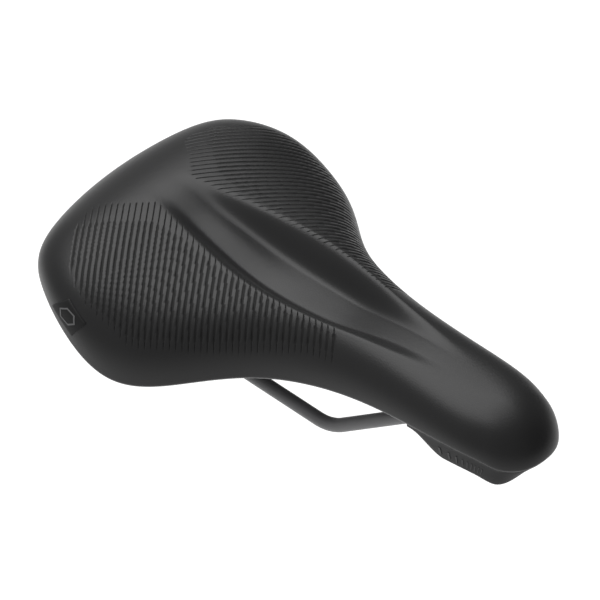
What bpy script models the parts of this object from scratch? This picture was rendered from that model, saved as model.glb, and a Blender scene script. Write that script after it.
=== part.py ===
"""Bicycle saddle: padded cover over a moulded shell, carried on two bent steel rails.

Millimetres are used for every named size; MM turns them into Blender's metres.
+X points to the nose, +Y to the rider's left, +Z up. The origin is the middle of the
straight clamping stretch of the rails, half way between the two rail centre lines.
"""
import math

import bmesh
import bpy
from mathutils import Vector
from mathutils.bvhtree import BVHTree

MM = 0.001

# ---- driving dimensions, mm -------------------------------------------------------------
# Rim of the cover, left half, from the rear to the nose, as the control points of a cubic
# B-spline: x, half width, z, the two exponents of the section above that point, and the x
# where that section meets the crown line. The sections run outward and forward.
RIM = [
    (-129.6, 0.0, 33.5, 2.1, 1.9, -81.0),
    (-119.4, 55.1, 35.9, 2.2, 2.2, -80.0),
    (-101.7, 71.9, 40.3, 2.5, 2.8, -79.0),
    (-74.0, 84.4, 32.0, 2.7, 3.1, -78.0),
    (-47.0, 84.4, 15.5, 2.6, 2.85, -76.5),
    (-21.5, 71.9, 19.9, 2.65, 2.8, -67.0),
    (9.2, 40.7, 29.9, 2.8, 2.75, -12.0),
    (60.9, 26.9, 40.8, 2.7, 2.35, 43.0),
    (120.4, 28.2, 46.6, 2.6, 2.25, 92.0),
    (135.9, 23.5, 45.0, 2.6, 2.2, 114.0),
    (144.6, 21.4, 41.8, 2.5, 2.1, 121.5),
    (154.8, 12.2, 41.7, 2.4, 2.0, 125.0),
    (158.4, 0.0, 44.9, 2.4, 2.0, 126.0),
]
# Height of the crown line along the middle, as evenly spaced B-spline control values.
CROWN_START = -164.0
CROWN_STEP = 45.0
CROWN = [58.8, 63.6, 64.7, 62.3, 67.1, 66.0, 63.8, 63.1, 62.0, 60.8]

# Relief channel: spline rows of half width, depth, and the half width and height share of the
# tongue that runs down into its rear end, every CHANNEL_STEP from CHANNEL_START.
CHANNEL_START = -108.0
CHANNEL_STEP = 16.0
CHANNEL = [
    (12.0, 0.0, 12.0, 0.30),
    (12.0, 0.0, 12.0, 0.30),
    (14.0, 0.0, 12.0, 0.30),
    (16.5, 6.6, 11.0, 0.34),
    (19.5, 9.4, 10.0, 0.30),
    (22.5, 12.0, 9.0, 0.18),
    (24.5, 14.3, 8.0, 0.05),
    (24.5, 15.3, 8.0, 0.0),
    (23.0, 15.0, 8.0, 0.0),
    (20.5, 13.2, 8.0, 0.0),
    (17.0, 8.2, 8.0, 0.0),
    (14.5, 3.8, 8.0, 0.0),
    (12.0, 0.9, 8.0, 0.0),
    (10.0, 0.0, 8.0, 0.0),
    (8.0, 0.0, 8.0, 0.0),
    (8.0, 0.0, 8.0, 0.0),
]
CHANNEL_FLOOR = 0.36
TONGUE_POWER = 2.0

SKIN = 1.2
GAP = 0.3
ROLL_RADIUS = 3.0
HEM_WIDTH = 11.0
SHELL_HALF = 1.5
FLANGE_WIDTH = 14.0
PAD_REAR, PAD_NOSE = 26.0, 12.5
PAD_TAPER_START, PAD_TAPER_END = 15.0, 110.0
GEL_THICKNESS = 4.0

RAIL_DIAMETER = 7.0
RAIL_SPACING = 44.0
RAIL_SIDES = 12
RAIL_BEND_RADIUS = 24.0
RAIL_CORNERS = [
    (-97.0, 31.0, 30.0),
    (-44.0, RAIL_SPACING / 2, 0.0),
    (43.0, RAIL_SPACING / 2, 0.0),
    (102.0, 8.8, 42.0),
    (119.0, 6.6, 43.0),
]
RAIL_BEND_STEPS = 5
CLAMP_HALF = 30.0
BORE_CLEARANCE = 0.35
BORE_OVERRUN = 0.4

# Blocks moulded under the shell that hold the rail ends: x range, y range of the left or
# middle block, and the height of its floor at the rear and at the front.
REAR_BOSS = ((-104.0, -76.0), (22.0, 40.0), 22.0, 9.5)
NOSE_BOSS = ((97.0, 123.0), (-14.0, 14.0), 31.0, 37.0)
BOSS_DRAFT = 0.6

STAPLE_INSET = 8.0
STAPLE_WIDTH = 8.0
STAPLE_LEG = 4.2
STAPLE_WIRE = 0.7
STAPLE_WIRE_WIDTH = 1.0
STAPLE_DROP = 0.4

# Nose guard: where it starts, and its depth there, along the flank, and at the tip, where
# its face also moves in by the setback and leans further in towards its lower edge.
GUARD_START = 100.0
GUARD_START_DEPTH, GUARD_DEPTH, GUARD_TIP_DEPTH = 2.8, 9.3, 4.2
GUARD_GROWTH = 16.0
GUARD_TIP_START, GUARD_TIP_LENGTH = 144.0, 12.0
GUARD_TIP_SETBACK, GUARD_TIP_LEAN = 1.0, 3.0
GUARD_WALL = 2.4
GUARD_FLANGE = 8.0
GUARD_INSET = 0.8
GUARD_STEPS = 48

# Badge corners on the right side of the cover, as places (t, s) of cover_point.
BADGE_CORNERS = [(2.62, 0.965), (3.0, 0.74), (3.52, 0.78), (3.24, 0.965)]
BADGE_THICKNESS = 0.6
BADGE_CELLS = 6

ROWS_PER_SPAN = 3
COLUMNS = [0.0, 0.1, 0.21, 0.33, 0.46, 0.6, 0.72, 0.82, 0.9, 1.0]
SPANS = len(RIM) - 1
ROWS = SPANS * ROWS_PER_SPAN


# ---- curves and surfaces -----------------------------------------------------------------
def spline_weights(t):
    """Weights of the four control values of a uniform cubic B-spline."""
    return ((1 - t) ** 3 / 6, (3 * t**3 - 6 * t**2 + 4) / 6,
            (-3 * t**3 + 3 * t**2 + 3 * t + 1) / 6, t**3 / 6)


def rim_values(t):
    """The RIM columns at t, which runs from 0 (rear) to SPANS (nose)."""
    side = 1.0
    if t < 0:
        t, side = -t, -1.0
    if t > SPANS:
        t, side = 2 * SPANS - t, -1.0
    span = min(int(t), SPANS - 1)
    total = [0.0] * len(RIM[0])
    for weight, index in zip(spline_weights(t - span), range(span - 1, span + 3)):
        mirror = index < 0 or index > SPANS
        row = RIM[abs(index) if index <= SPANS else 2 * SPANS - index]
        for axis in range(len(row)):
            value = -row[axis] if mirror and axis == 1 else row[axis]
            total[axis] += weight * value
    total[1] *= side
    return total


def crown(x):
    """Height of the crown line at x, before the channel is pressed in."""
    place = (x - CROWN_START) / CROWN_STEP
    span = min(max(int(place), 1), len(CROWN) - 3)
    values = CROWN[span - 1:span + 3]
    return sum(w * v for w, v in zip(spline_weights(place - span), values))


def smooth_step(value):
    value = min(max(value, 0.0), 1.0)
    return value * value * (3 - 2 * value)


def channel_row(x):
    """Half width, depth, tongue half width and tongue height share at x."""
    place = min(max((x - CHANNEL_START) / CHANNEL_STEP, 1.0), len(CHANNEL) - 2.0)
    span = min(int(place), len(CHANNEL) - 3)
    weights = spline_weights(place - span)
    return [sum(w * CHANNEL[span - 1 + k][column] for k, w in enumerate(weights))
            for column in range(4)]


def channel_depth(x, y):
    """Depth of the relief channel below the crowned top."""
    half_width, depth, tongue, share = channel_row(x)
    wall = smooth_step((1 - abs(y) / half_width) / (1 - CHANNEL_FLOOR))
    lift = share * math.exp(-(abs(y) / tongue) ** TONGUE_POWER)
    return depth * wall * (1 - lift)


def cover_point(t, s):
    """Outer face of the cover; s runs from 0 on the crown line to 1 at the rim."""
    x, y, z, plan_power, height_power, foot = rim_values(t)
    side = -1.0 if s < 0 else 1.0
    angle = min(abs(s), 1.0) * math.pi / 2
    reach = math.sin(angle) ** (2 / plan_power)
    lift = max(math.cos(angle), 0.0) ** (2 / height_power)
    px = foot + (x - foot) * reach
    py = y * reach
    pz = z + (crown(px) - z) * lift - channel_depth(px, py)
    return Vector((px, py * side, pz))


def cover_normal(t, s):
    """Outward normal of the cover at (t, s), by central differences."""
    step_t, step_s = 0.02, 0.01
    t = min(max(t, step_t), SPANS - step_t)
    along = cover_point(t + step_t, s) - cover_point(t - step_t, s)
    across = cover_point(t, min(s + step_s, 1.0)) - cover_point(t, s - step_s)
    return along.cross(across).normalized()


def layer_point(t, s, depth):
    """A point at a depth under the outer face; a negative depth stands proud of it."""
    return cover_point(t, s) - cover_normal(t, s) * depth


def rim_frame(t):
    """Rim point with the unit vectors along the rim, inward, and down across the rim."""
    point = Vector(rim_values(t)[:3])
    along = Vector(rim_values(t + 0.02)[:3]) - Vector(rim_values(t - 0.02)[:3])
    inward = Vector((along.y, -along.x, 0)).normalized()
    along.normalize()
    return point, along, inward, along.cross(inward).normalized()


def rim_place(frame, inset, drop):
    point, _, inward, down = frame
    return point + inward * inset + down * drop


def shell_spine_z(x):
    """Height of the middle of the shell's thickness on the crown line."""
    taper = smooth_step((x - PAD_TAPER_START) / (PAD_TAPER_END - PAD_TAPER_START))
    return crown(x) - PAD_REAR + (PAD_REAR - PAD_NOSE) * taper


def dome_point(t, u, lift):
    """Shell dome from the flange (u = 0) to the crown line (u = 1), raised by lift."""
    start = rim_place(rim_frame(t), FLANGE_WIDTH, 0)
    foot = rim_values(t)[5]
    height = shell_spine_z(foot)
    x = start.x + (foot - start.x) * u
    y = start.y * (1 - u)
    z = start.z + (height - start.z) * (1 - (1 - u) ** 2)
    return Vector((x, y, z + lift))


# ---- mesh helpers ------------------------------------------------------------------------
def material(name, colour, roughness, metallic=0.0):
    made = bpy.data.materials.new(name)
    made.use_nodes = True
    shader = made.node_tree.nodes["Principled BSDF"]
    shader.inputs["Base Color"].default_value = (*colour, 1.0)
    shader.inputs["Roughness"].default_value = roughness
    shader.inputs["Metallic"].default_value = metallic
    return made


def add_object(name, bm, finish=None):
    """Close a bmesh built in millimetres into a named object in metres."""
    bmesh.ops.scale(bm, vec=(MM, MM, MM), verts=bm.verts)
    mesh = bpy.data.meshes.new(name)
    bm.to_mesh(mesh)
    bm.free()
    mesh.shade_smooth()
    mesh.set_sharp_from_angle(angle=math.radians(35))
    made = bpy.data.objects.new(name, mesh)
    bpy.context.scene.collection.objects.link(made)
    if finish:
        mesh.materials.append(finish)
    return made


def mark_as_cutter(made):
    made.hide_render = True
    made.display_type = "WIRE"
    return made


def add_boolean(made, other, operation):
    change = made.modifiers.new(operation.lower(), "BOOLEAN")
    change.operation = operation
    change.solver = "EXACT"
    change.object = other


def skin_rows(bm, rows, closed_section=False):
    """Faces between rows of points; every row has the same number of points."""
    verts = [[bm.verts.new(point) for point in row] for row in rows]
    for low, high in zip(verts, verts[1:]):
        count = len(low)
        for index in range(count if closed_section else count - 1):
            after = (index + 1) % count
            bm.faces.new((low[index], low[after], high[after], high[index]))
    return verts


def half_loft(name, section, finish):
    """Loft the left half through section(row) and mirror it; sections end on y = 0."""
    bm = bmesh.new()
    rows = [section(row) for row in range(ROWS + 1)]
    for row in rows:
        row[0].y = 0.0
        row[-1].y = 0.0
    for row in (rows[0], rows[-1]):
        for point in row:
            point.y = 0.0
    verts = skin_rows(bm, rows)
    for end, beside in ((0, 1), (-1, -2)):
        bmesh.ops.connect_verts(bm, verts=[verts[end][0], verts[beside][1]])
        bmesh.ops.connect_verts(bm, verts=[verts[end][-1], verts[beside][-2]])
    bmesh.ops.triangulate(bm, faces=bm.faces, quad_method="SHORT_EDGE")
    bmesh.ops.recalc_face_normals(bm, faces=bm.faces)
    top = max(bm.faces, key=lambda face: face.calc_center_median().z)
    if top.normal.z < 0:
        bmesh.ops.reverse_faces(bm, faces=bm.faces)
    made = add_object(name, bm, finish)
    mirror = made.modifiers.new("mirror", "MIRROR")
    mirror.use_axis = (False, True, False)
    mirror.merge_threshold = 0.00001
    return made


def sheet_solid(name, top, bottom, finish):
    """Closed solid between two grids of the same size."""
    bm = bmesh.new()
    upper = skin_rows(bm, top)
    lower = skin_rows(bm, bottom)
    edge = [(0, j) for j in range(len(top[0]))]
    edge += [(i, len(top[0]) - 1) for i in range(1, len(top))]
    edge += [(len(top) - 1, j) for j in range(len(top[0]) - 2, -1, -1)]
    edge += [(i, 0) for i in range(len(top) - 2, 0, -1)]
    for here, after in zip(edge, edge[1:] + edge[:1]):
        bm.faces.new((upper[here[0]][here[1]], upper[after[0]][after[1]],
                      lower[after[0]][after[1]], lower[here[0]][here[1]]))
    bmesh.ops.recalc_face_normals(bm, faces=bm.faces)
    return add_object(name, bm, finish)


def boxes(name, corner_sets, finish=None):
    """One object of separate eight-cornered blocks; each set is bottom ring, top ring."""
    bm = bmesh.new()
    for corners in corner_sets:
        verts = [bm.verts.new(corner) for corner in corners]
        for ring in ((0, 1, 2, 3), (4, 5, 6, 7)):
            bm.faces.new([verts[i] for i in ring])
        for i in range(4):
            after = (i + 1) % 4
            bm.faces.new((verts[i], verts[after], verts[after + 4], verts[i + 4]))
    bmesh.ops.recalc_face_normals(bm, faces=bm.faces)
    return add_object(name, bm, finish)


def bent_path(corners, radius, steps):
    """Straight runs between the corners, joined by arcs of the bend radius."""
    corners = [Vector(corner) for corner in corners]
    path = [corners[0]]
    for before, corner, after in zip(corners, corners[1:], corners[2:]):
        back = (before - corner).normalized()
        ahead = (after - corner).normalized()
        half = back.angle(ahead) / 2
        middle = corner + (back + ahead).normalized() * radius / math.sin(half)
        start = corner + back * radius / math.tan(half)
        end = corner + ahead * radius / math.tan(half)
        for step in range(steps + 1):
            spoke = (start - middle).slerp(end - middle, step / steps)
            path.append(middle + spoke.normalized() * radius)
    path.append(corners[-1])
    return path


def tube(name, path, across_flats, finish=None):
    """Closed tube of even-sided section with flats facing up, down and sideways."""
    radius = across_flats / 2 / math.cos(math.pi / RAIL_SIDES)
    bm = bmesh.new()
    rows = []
    for index, point in enumerate(path):
        before = path[max(index - 1, 0)]
        after = path[min(index + 1, len(path) - 1)]
        along = (after - before).normalized()
        side = Vector((0, 0, 1)).cross(along).normalized()
        up = along.cross(side)
        turns = [(k + 0.5) * 2 * math.pi / RAIL_SIDES for k in range(RAIL_SIDES)]
        rows.append([point + (side * math.cos(a) + up * math.sin(a)) * radius for a in turns])
    verts = skin_rows(bm, rows, closed_section=True)
    bm.faces.new(verts[0])
    bm.faces.new(verts[-1])
    bmesh.ops.recalc_face_normals(bm, faces=bm.faces)
    return add_object(name, bm, finish)


# ---- soft parts --------------------------------------------------------------------------
GEL_ROWS = range(10, 19)
GEL_COLUMNS = range(3, 7)


def row_t(row):
    return row / ROWS_PER_SPAN


def cover_section(row):
    """Outer face, roll under the shell's edge, hem, and back along the inner face."""
    t = row_t(row)
    frame = rim_frame(t)
    inner = ROLL_RADIUS - SKIN
    turns = [math.radians(a) for a in (30, 60, 90)]
    points = [cover_point(t, s) for s in COLUMNS]
    for a in turns:
        inset = ROLL_RADIUS * (1 - math.cos(a))
        points.append(rim_place(frame, inset, ROLL_RADIUS * math.sin(a)))
    points.append(rim_place(frame, HEM_WIDTH, ROLL_RADIUS))
    points.append(rim_place(frame, HEM_WIDTH, inner))
    for a in reversed(turns):
        inset = ROLL_RADIUS - inner * math.cos(a)
        points.append(rim_place(frame, inset, inner * math.sin(a)))
    points += [layer_point(t, s, SKIN) for s in reversed(COLUMNS)]
    return points


def foam_section(row):
    """Padding between the cover and the shell, with a seat for the gel inlay."""
    t = row_t(row)
    frame = rim_frame(t)
    under_skin = SKIN + GAP
    over_shell = SHELL_HALF + GAP
    seat = under_skin + GEL_THICKNESS + GAP
    points = []
    for column, s in enumerate(COLUMNS[:-1]):
        in_seat = row in GEL_ROWS and column in GEL_COLUMNS
        points.append(layer_point(t, s, seat if in_seat else under_skin))
    edge = layer_point(t, 1.0, under_skin)
    height = points[-1].z - edge.z
    points.append(edge.lerp(points[-1], (over_shell + GAP) / height))
    points.append(rim_place(frame, ROLL_RADIUS, -over_shell))
    points.append(rim_place(frame, FLANGE_WIDTH, -over_shell))
    points += [dome_point(t, u, over_shell) for u in (0.25, 0.5, 0.75, 1.0)]
    return points


def gel_inlay(name, side, finish):
    """Sit bone inlay that lies in the foam's seat, right under the cover."""
    def grid(depth):
        rows = []
        for row in GEL_ROWS:
            line = [layer_point(row_t(row), COLUMNS[c], depth) for c in GEL_COLUMNS]
            rows.append([Vector((p.x, p.y * side, p.z)) for p in line])
        return rows
    return sheet_solid(name, grid(SKIN + GAP), grid(SKIN + GAP + GEL_THICKNESS), finish)


def corner_badge(finish):
    """Thin square tag glued to the right rear corner of the cover."""
    corners = [Vector(corner) for corner in BADGE_CORNERS]

    def grid(depth):
        rows = []
        for i in range(BADGE_CELLS + 1):
            start = corners[0].lerp(corners[1], i / BADGE_CELLS)
            end = corners[3].lerp(corners[2], i / BADGE_CELLS)
            places = [start.lerp(end, j / BADGE_CELLS) for j in range(BADGE_CELLS + 1)]
            line = [layer_point(place.x, place.y, -depth) for place in places]
            rows.append([Vector((p.x, -p.y, p.z)) for p in line])
        return rows
    return sheet_solid("corner_badge", grid(GAP + BADGE_THICKNESS), grid(GAP), finish)


# ---- shell, rails, guard, staples --------------------------------------------------------
def shell_section(row):
    """Moulded base: a flat flange along the rim and a shallow dome inside it."""
    t = row_t(row)
    frame = rim_frame(t)
    half = SHELL_HALF
    edge = ROLL_RADIUS
    dome = (0.25, 0.5, 0.75)
    points = [dome_point(t, 1.0, half)]
    points += [dome_point(t, u, half) for u in reversed(dome)]
    points += [rim_place(frame, FLANGE_WIDTH, -half), rim_place(frame, edge, -half)]
    points += [rim_place(frame, edge - 1.0, -half * 0.6), rim_place(frame, edge - 1.3, 0)]
    points += [rim_place(frame, edge - 1.0, half * 0.6), rim_place(frame, edge, half)]
    points += [rim_place(frame, FLANGE_WIDTH, half)]
    points += [dome_point(t, u, -half) for u in dome]
    points.append(dome_point(t, 1.0, -half))
    return points


def shell_middle_tree():
    """Search tree of the middle of the shell's thickness, left half."""
    verts = []
    columns = (0.0, 0.25, 0.5, 0.75, 1.0)
    for row in range(ROWS + 1):
        verts.append(rim_place(rim_frame(row_t(row)), ROLL_RADIUS, 0))
        verts += [dome_point(row_t(row), u, 0) for u in columns]
    width = len(columns) + 1
    faces = []
    for row in range(ROWS):
        for column in range(width - 1):
            first = row * width + column
            faces.append((first, first + 1, first + width + 1, first + width))
    return BVHTree.FromPolygons(verts, faces)


def boss_corners(tree, boss, side=1):
    """Block that hangs from the shell, its top inside the shell's thickness."""
    (x0, x1), (y0, y1), floor_rear, floor_front = boss
    y0, y1 = min(y0 * side, y1 * side), max(y0 * side, y1 * side)
    ring = [(x0, y0), (x1, y0), (x1, y1), (x0, y1)]
    low = []
    high = []
    for x, y in ring:
        hit = tree.ray_cast(Vector((x, abs(y), 200)), Vector((0, 0, -1)))[0]
        floor = floor_rear if x == x0 else floor_front
        inward_x = BOSS_DRAFT if x == x0 else -BOSS_DRAFT
        inward_y = BOSS_DRAFT if y == y0 else -BOSS_DRAFT
        low.append(Vector((x + inward_x, y + inward_y, floor)))
        high.append(Vector((x, y, hit.z)))
    return low + high


def staple_frame(row, side):
    """Axes of a staple that lies on the hem half way between two rows of the rim."""
    low = rim_frame(row_t(row))
    high = rim_frame(row_t(row + 1))
    along = (high[0] - low[0]).normalized()
    inward = ((low[2] + high[2]) / 2).normalized()
    inward = (inward - along * inward.dot(along)).normalized()
    down = along.cross(inward).normalized()
    point = (low[0] + high[0]) / 2
    axes = [point, along, inward, down]
    return [Vector((v.x, v.y * side, v.z)) for v in axes]


def staple_place(axes, along, inset, drop):
    return axes[0] + axes[1] * along + axes[2] * inset + axes[3] * drop


def staple(name, axes, finish):
    """Flat wire staple: a crown under the hem and two legs up into the shell."""
    half = STAPLE_WIDTH / 2
    crown_top = ROLL_RADIUS + STAPLE_DROP
    crown_low = crown_top + STAPLE_WIRE
    leg_top = crown_top - STAPLE_LEG
    outline = [(-half, crown_low), (half, crown_low), (half, leg_top),
               (half - STAPLE_WIRE, leg_top), (half - STAPLE_WIRE, crown_top),
               (STAPLE_WIRE - half, crown_top), (STAPLE_WIRE - half, leg_top),
               (-half, leg_top)]
    bm = bmesh.new()
    rows = []
    for inset in (STAPLE_INSET - STAPLE_WIRE_WIDTH / 2, STAPLE_INSET + STAPLE_WIRE_WIDTH / 2):
        rows.append([staple_place(axes, along, inset, drop) for along, drop in outline])
    verts = skin_rows(bm, rows, closed_section=True)
    bm.faces.new(verts[0])
    bm.faces.new(verts[-1])
    bmesh.ops.recalc_face_normals(bm, faces=bm.faces)
    return add_object(name, bm, finish)


def staple_hole_corners(axes):
    """Two through holes, one for each leg."""
    reach = STAPLE_WIRE_WIDTH / 2 + BORE_CLEARANCE
    found = []
    for side in (-1, 1):
        middle = side * (STAPLE_WIDTH - STAPLE_WIRE) / 2
        wide = STAPLE_WIRE / 2 + BORE_CLEARANCE
        ring = [(middle - wide, -reach), (middle + wide, -reach),
                (middle + wide, reach), (middle - wide, reach)]
        for drop in (ROLL_RADIUS + 2.0, -SHELL_HALF - 1.0):
            found.append([staple_place(axes, a, STAPLE_INSET + i, drop) for a, i in ring])
    return [found[0] + found[1], found[2] + found[3]]


def guard_section(x):
    """Outline of the nose guard across the rim, as (inset, drop) pairs."""
    grow = smooth_step((x - GUARD_START) / GUARD_GROWTH)
    tip = smooth_step((x - GUARD_TIP_START) / GUARD_TIP_LENGTH)
    depth = GUARD_START_DEPTH + (GUARD_DEPTH - GUARD_START_DEPTH) * grow
    depth -= (GUARD_DEPTH - GUARD_TIP_DEPTH) * tip
    top = ROLL_RADIUS + GAP
    low = top + depth
    floor = low - GUARD_WALL + 0.4
    face = GUARD_INSET + GUARD_TIP_SETBACK * tip
    foot = face + GUARD_TIP_LEAN * tip
    return [(face, top), (foot + 0.2, low - 1.2), (foot + 1.4, low), (GUARD_FLANGE, low),
            (GUARD_FLANGE, floor), (foot + GUARD_WALL, floor), (foot + GUARD_WALL, top)]


def nose_guard(finish):
    """Skirt that closes the nose below the hem: an angle section swept round the rim."""
    first = next(t for t in (7 + k / 100 for k in range(200))
                 if rim_values(t)[0] > GUARD_START)
    last = 2 * SPANS - first
    rows = []
    for step in range(GUARD_STEPS + 1):
        frame = rim_frame(first + (last - first) * step / GUARD_STEPS)
        rows.append([rim_place(frame, *place) for place in guard_section(frame[0].x)])
    bm = bmesh.new()
    verts = skin_rows(bm, rows, closed_section=True)
    bm.faces.new(verts[0])
    bm.faces.new(verts[-1])
    bmesh.ops.recalc_face_normals(bm, faces=bm.faces)
    return add_object("nose_guard", bm, finish)


def rail_path():
    """Centre line of the left rail, with a ring at each end of the clamping stretch."""
    path = bent_path(RAIL_CORNERS, RAIL_BEND_RADIUS, RAIL_BEND_STEPS)
    for x in (-CLAMP_HALF, CLAMP_HALF):
        path.append(Vector((x, RAIL_SPACING / 2, 0.0)))
    return sorted(path, key=lambda point: point.x)


def build():
    for old in list(bpy.data.objects):
        bpy.data.objects.remove(old, do_unlink=True)

    black_cover = material("cover_microfibre", (0.030, 0.030, 0.031), 0.62)
    foam = material("padding_foam", (0.10, 0.10, 0.11), 0.95)
    gel = material("gel_inlay", (0.05, 0.10, 0.13), 0.45)
    nylon = material("shell_nylon", (0.022, 0.022, 0.023), 0.55)
    guard = material("guard_plastic", (0.020, 0.020, 0.021), 0.5)
    steel = material("rail_steel_coated", (0.060, 0.060, 0.062), 0.38, 0.6)
    wire = material("staple_steel", (0.45, 0.45, 0.46), 0.35, 1.0)
    tag = material("badge_rubber", (0.012, 0.012, 0.012), 0.5)

    cover = half_loft("cover", cover_section, black_cover)
    half_loft("foam_pad", foam_section, foam)
    gel_inlay("left_gel_inlay", 1, gel)
    gel_inlay("right_gel_inlay", -1, gel)
    shell = half_loft("base_shell", shell_section, nylon)
    nose_guard(guard)
    corner_badge(tag)

    frames = []
    for side in (1, -1):
        frames += [staple_frame(row, side) for row in range(1, ROWS - 6, 3)]
    for number, axes in enumerate(frames, start=1):
        staple(f"staple_{number:02d}", axes, wire)
    holes = [corners for axes in frames for corners in staple_hole_corners(axes)]
    hole_cutter = mark_as_cutter(boxes("staple_hole_cutter", holes))

    path = rail_path()
    mirrored = [Vector((p.x, -p.y, p.z)) for p in path]
    tube("left_rail", path, RAIL_DIAMETER, steel)
    tube("right_rail", mirrored, RAIL_DIAMETER, steel)
    bore = RAIL_DIAMETER + 2 * BORE_CLEARANCE

    tree = shell_middle_tree()
    bosses = [boss_corners(tree, REAR_BOSS), boss_corners(tree, REAR_BOSS, side=-1),
              boss_corners(tree, NOSE_BOSS)]
    boss_block = mark_as_cutter(boxes("rail_boss_block", bosses))
    add_boolean(shell, hole_cutter, "DIFFERENCE")
    add_boolean(shell, boss_block, "UNION")
    for name, centre_line in (("left_bore_cutter", path), ("right_bore_cutter", mirrored)):
        rear = (centre_line[0] - centre_line[1]).normalized() * BORE_OVERRUN
        front = (centre_line[-1] - centre_line[-2]).normalized() * BORE_OVERRUN
        longer = [centre_line[0] + rear] + centre_line[1:-1] + [centre_line[-1] + front]
        add_boolean(shell, mark_as_cutter(tube(name, longer, bore)), "DIFFERENCE")
    add_boolean(cover, hole_cutter, "DIFFERENCE")


build()
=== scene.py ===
"""Looks of a bicycle saddle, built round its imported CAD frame.

The cover, shell, guard, rails and badge are made again from the same curves as the CAD part,
finely enough for smooth outlines and pressed grooves. Named sizes are millimetres; every
mesh is scaled to metres when it is made. +X points to the nose, +Y to the rider's left.
"""
import math

import bmesh
import bpy
import numpy as np
from mathutils import Matrix, Vector
from mathutils.bvhtree import BVHTree

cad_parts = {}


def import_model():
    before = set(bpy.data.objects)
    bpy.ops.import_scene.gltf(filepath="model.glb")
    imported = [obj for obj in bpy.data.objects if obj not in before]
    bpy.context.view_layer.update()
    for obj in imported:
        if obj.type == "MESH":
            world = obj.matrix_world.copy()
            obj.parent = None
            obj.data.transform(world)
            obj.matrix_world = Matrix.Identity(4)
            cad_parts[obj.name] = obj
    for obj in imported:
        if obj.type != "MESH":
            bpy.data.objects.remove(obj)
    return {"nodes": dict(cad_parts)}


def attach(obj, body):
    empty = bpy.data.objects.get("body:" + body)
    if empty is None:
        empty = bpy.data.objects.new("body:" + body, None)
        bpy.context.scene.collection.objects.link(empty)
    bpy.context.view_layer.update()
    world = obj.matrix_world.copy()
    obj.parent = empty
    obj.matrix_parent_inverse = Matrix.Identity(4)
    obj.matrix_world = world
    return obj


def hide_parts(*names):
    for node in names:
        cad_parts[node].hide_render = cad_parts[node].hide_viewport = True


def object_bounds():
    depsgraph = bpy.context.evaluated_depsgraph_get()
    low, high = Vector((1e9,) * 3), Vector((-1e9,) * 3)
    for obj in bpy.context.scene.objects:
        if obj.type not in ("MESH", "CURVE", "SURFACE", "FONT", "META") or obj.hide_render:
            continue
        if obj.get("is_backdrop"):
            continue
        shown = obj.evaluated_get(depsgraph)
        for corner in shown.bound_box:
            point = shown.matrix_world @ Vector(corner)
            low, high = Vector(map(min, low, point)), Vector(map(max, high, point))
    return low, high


MM = 0.001

# ---- the saddle's curves, mm -------------------------------------------------------------
# Rim, left half, rear to nose: x, half width, z, plan and height exponents, foot x.
RIM = np.array([
    (-129.6, 0.0, 33.5, 2.1, 1.9, -81.0),
    (-119.4, 55.1, 35.9, 2.2, 2.2, -80.0),
    (-101.7, 71.9, 40.3, 2.5, 2.8, -79.0),
    (-74.0, 84.4, 32.0, 2.7, 3.1, -78.0),
    (-47.0, 84.4, 15.5, 2.6, 2.85, -76.5),
    (-21.5, 71.9, 19.9, 2.65, 2.8, -67.0),
    (9.2, 40.7, 29.9, 2.8, 2.75, -12.0),
    (60.9, 26.9, 40.8, 2.7, 2.35, 43.0),
    (120.4, 28.2, 46.6, 2.6, 2.25, 92.0),
    (135.9, 23.5, 45.0, 2.6, 2.2, 114.0),
    (144.6, 21.4, 41.8, 2.5, 2.1, 121.5),
    (154.8, 12.2, 41.7, 2.4, 2.0, 125.0),
    (158.4, 0.0, 44.9, 2.4, 2.0, 126.0),
])
SPANS = len(RIM) - 1
CROWN_START = -164.0
CROWN_STEP = 45.0
CROWN = np.array([58.8, 63.6, 64.7, 62.3, 67.1, 66.0, 63.8, 63.1, 62.0, 60.8])

# Relief channel: spline rows of half width, depth, and the half width and height share of the
# tongue that runs down into its rear end, every CHANNEL_STEP from CHANNEL_START.
CHANNEL_START = -108.0
CHANNEL_STEP = 16.0
CHANNEL = np.array([
    (12.0, 0.0, 12.0, 0.30),
    (12.0, 0.0, 12.0, 0.30),
    (14.0, 0.0, 12.0, 0.30),
    (16.5, 6.6, 11.0, 0.34),
    (19.5, 9.4, 10.0, 0.30),
    (22.5, 12.0, 9.0, 0.18),
    (24.5, 14.3, 8.0, 0.05),
    (24.5, 15.3, 8.0, 0.0),
    (23.0, 15.0, 8.0, 0.0),
    (20.5, 13.2, 8.0, 0.0),
    (17.0, 8.2, 8.0, 0.0),
    (14.5, 3.8, 8.0, 0.0),
    (12.0, 0.9, 8.0, 0.0),
    (10.0, 0.0, 8.0, 0.0),
    (8.0, 0.0, 8.0, 0.0),
    (8.0, 0.0, 8.0, 0.0),
])
CHANNEL_FLOOR = 0.36
TONGUE_POWER = 2.0

SKIN = 1.2
GAP = 0.3
ROLL_RADIUS = 3.0
HEM_WIDTH = 11.0
SHELL_HALF = 1.5
FLANGE_WIDTH = 14.0
PAD_REAR, PAD_NOSE = 26.0, 12.5
PAD_TAPER_START, PAD_TAPER_END = 15.0, 110.0

# Pressed grooves of the wings: parallel in plan, mirrored left to right. "Across" is measured
# at right angles to the lines and "along" outward on them.
GROOVE_ANGLE = math.radians(36.7)
GROOVE_FIRST = -106.6
GROOVE_PITCH = 3.0
GROOVE_COUNT = 44
GROOVE_HALF = 0.62
GROOVE_FLOOR_HALF = 0.30
GROOVE_DEPTH = 0.35
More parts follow.
